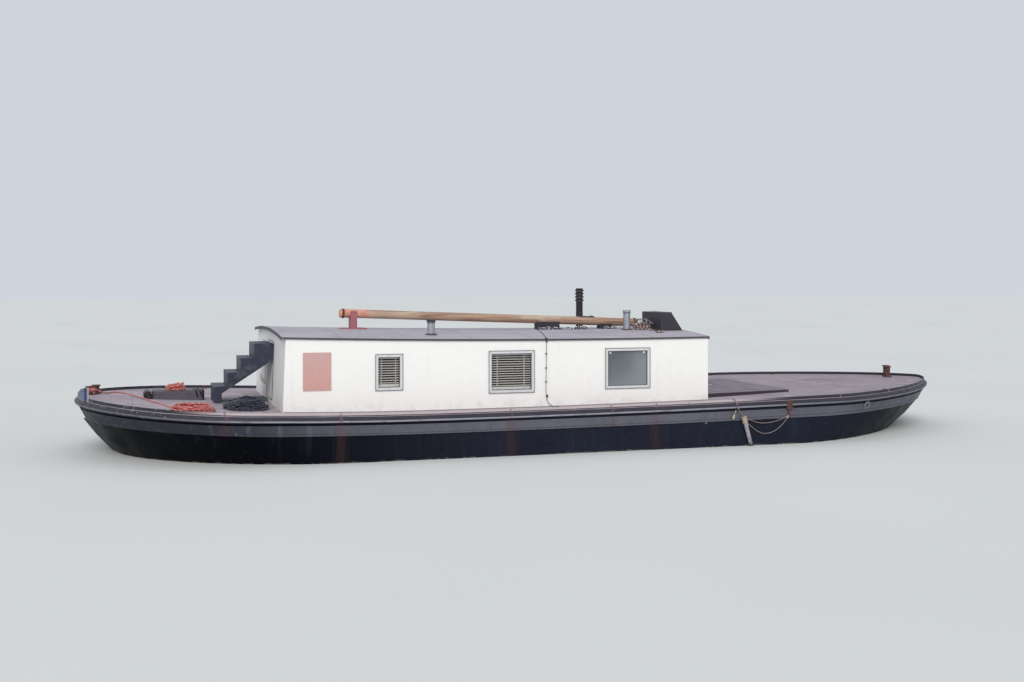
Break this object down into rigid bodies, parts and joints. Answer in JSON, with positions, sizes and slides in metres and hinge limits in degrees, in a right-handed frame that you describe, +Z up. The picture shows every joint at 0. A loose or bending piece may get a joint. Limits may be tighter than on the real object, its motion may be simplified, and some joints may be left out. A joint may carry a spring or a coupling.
{
  "type": "houseboat",
  "caption": "Steel barge houseboat with a low white deckhouse, side windows, hinged doors and hatches, a long pole on the roof, boarding steps and mooring gear.",
  "frame": {"origin": "on the centreline of the underside of the flat bottom, amidships (0.1 m abaft the middle of the length)", "axes": "+X to the bow, +Y to port, +Z up; the waterline is at z 0.5"},
  "size_m": [15.6436, 5.1766, 3.076],
  "materials": {
    "hull": "dark navy bottom and side paint, dulled, with rust at the waterline",
    "strake": "dark grey band of paint, scuffed",
    "rail": "dark grey paint, rubbed bright along the edge",
    "deck": "grey deck paint, matt and weathered",
    "bulwark": "glossy blue paint",
    "floor": "varnished boards",
    "wall": "white paint, satin, with rust streaks low down",
    "end_wall": "white paint, satin",
    "roof": "grey roof paint, matt and weathered",
    "frame": "white paint",
    "glass": "clear, slightly grey",
    "shutter": "dusty pink paint, matt",
    "door": "off-white paint on panelled wood",
    "hood": "dark slate paint, satin",
    "pole": "weathered varnish, with an orange-red painted end",
    "crutch": "faded red paint",
    "chock": "dark stained wood",
    "vent": "light grey paint",
    "chimney": "dark heat-stained paint",
    "steps": "dark navy paint, worn on the treads",
    "locker": "grey paint, matt",
    "platform": "mauve-grey non-slip paint",
    "bollard": "rusty",
    "fender": "pale grey weathered wood",
    "black_rope": "black laid rope",
    "red_rope": "faded red laid rope",
    "brown_rope": "brown netting and rope"
  },
  "bodies": {
    "boat": {"hull_bow": "hull", "hull_stern": "hull", "hull_bottom": "hull", "hull_side_port": "hull", "hull_side_starboard": "hull", "sheer_strake": "strake", "rub_rail": "rail", "deck_plating": "deck", "bow_bulwark": "bulwark", "toe_rail": "rail", "cabin_floor": "floor", "wall_port": "wall", "wall_starboard": "wall", "wall_fore": "end_wall", "wall_aft": "end_wall", "roof": "roof", "window_frame_fore_port": "frame", "window_pane_fore_port": "glass", "window_frame_middle_port": "frame", "window_pane_middle_port": "glass", "window_frame_aft_port": "frame", "window_pane_aft_port": "glass", "shutter_port": "shutter", "window_frame_fore_starboard": "frame", "window_pane_fore_starboard": "glass", "window_frame_middle_starboard": "frame", "window_pane_middle_starboard": "glass", "window_frame_aft_starboard": "frame", "window_pane_aft_starboard": "glass", "shutter_starboard": "shutter", "companion_hood": "hood", "roof_pole": "pole", "pole_crutch": "crutch", "pole_chock_middle": "chock", "pole_chock_aft": "chock", "roof_vent": "vent", "flue_pipe": "vent", "louvred_chimney": "chimney", "boarding_steps": "steps", "foredeck_locker": "locker", "aft_platform": "platform", "bollard_stern": "bollard", "bollard_bow": "bollard", "fender_pole_port": "fender", "fender_pole_starboard": "fender", "black_rope_coil": "black_rope", "red_rope_coil": "red_rope", "bow_rope_coil": "red_rope", "red_bow_line": "red_rope", "locker_rope_coil": "red_rope", "roof_rope_coil": "brown_rope", "fender_bracket": "bollard", "fender_line": "brown_rope", "roof_cleat": "chock", "roof_line": "brown_rope", "wall_cable": "chock"},
    "fore_door": {"fore_door": "door"},
    "aft_door": {"aft_door": "door"},
    "hood_lid": {"hood_lid": "hood"},
    "hatch_lid": {"aft_hatch_lid": "platform"}
  },
  "joints": [
    {"name": "fore_door_hinge", "type": "hinge", "parent": "boat", "child": "fore_door", "pos_m": [4.86976, -1.25, 1.825], "axis": [0.0375, 0, -0.9993], "range_deg": [0, 100]},
    {"name": "aft_door_hinge", "type": "hinge", "parent": "boat", "child": "aft_door", "pos_m": [-2.1923, 0.94, 1.825], "axis": [0, 0, -1], "range_deg": [0, 110]},
    {"name": "hood_lid_hinge", "type": "hinge", "parent": "boat", "child": "hood_lid", "pos_m": [-1.98145, 0.585, 2.6572], "axis": [0, 1, 0], "range_deg": [0, 100]},
    {"name": "hatch_lid_hinge", "type": "hinge", "parent": "boat", "child": "hatch_lid", "pos_m": [-3.05, -0.35, 1.2961], "axis": [1, 0, 0], "range_deg": [0, 100]}
  ]
}
